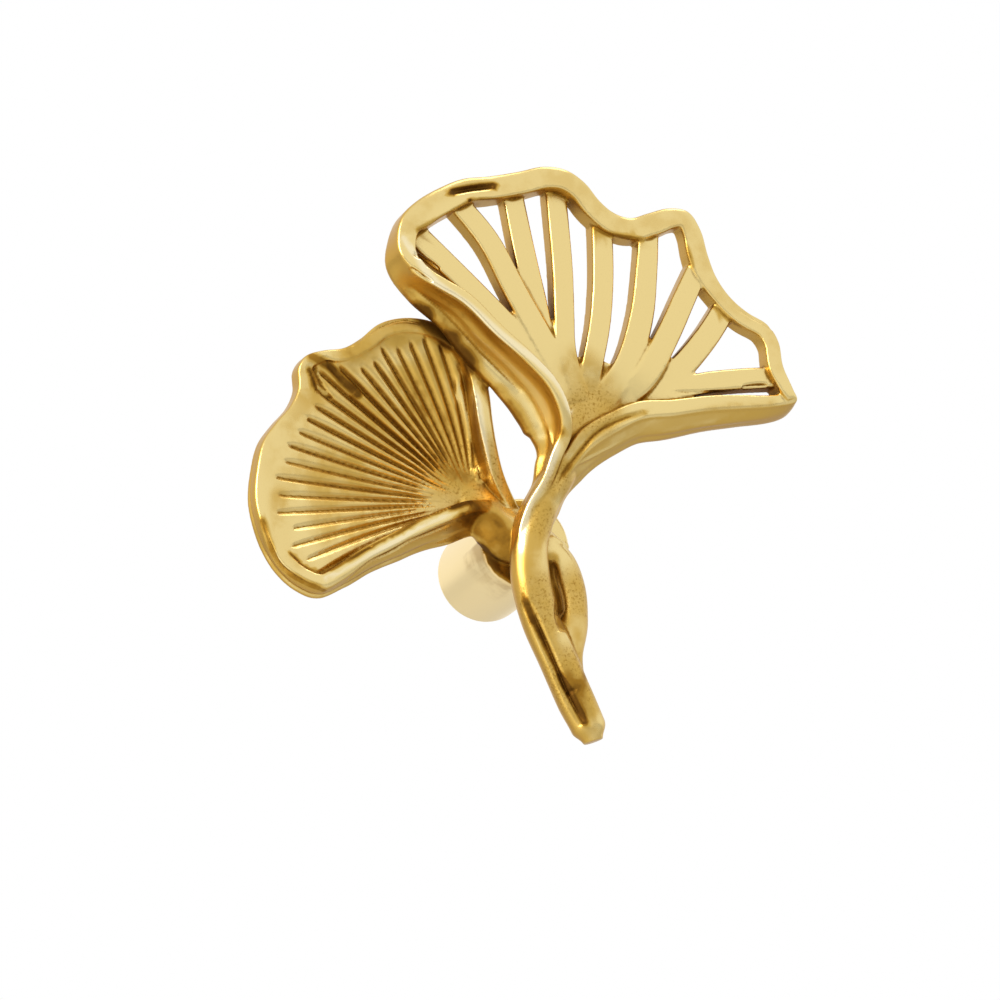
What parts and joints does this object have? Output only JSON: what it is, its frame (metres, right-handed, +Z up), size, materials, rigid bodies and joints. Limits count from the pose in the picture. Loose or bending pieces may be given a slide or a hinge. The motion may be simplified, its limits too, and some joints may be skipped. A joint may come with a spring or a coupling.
{
  "type": "leaf shaped cabinet pull",
  "caption": "Cast brass cabinet pull: an open ribbed ginkgo leaf and a fluted closed leaf on crossing stems, on a round post with a blind screw hole.",
  "frame": {"origin": "centre of the post's back face, where it meets the door or drawer front", "axes": "+Y into the door or drawer front, -Y towards the room, +Z up, +X to the right as seen from the room"},
  "size_m": [0.061, 0.0236, 0.0629],
  "materials": {
    "brass": "hand-rubbed cast brass, dark in the grooves, satin on the post"
  },
  "bodies": {
    "root": {"leaf_pull": "brass"}
  },
  "joints": []
}
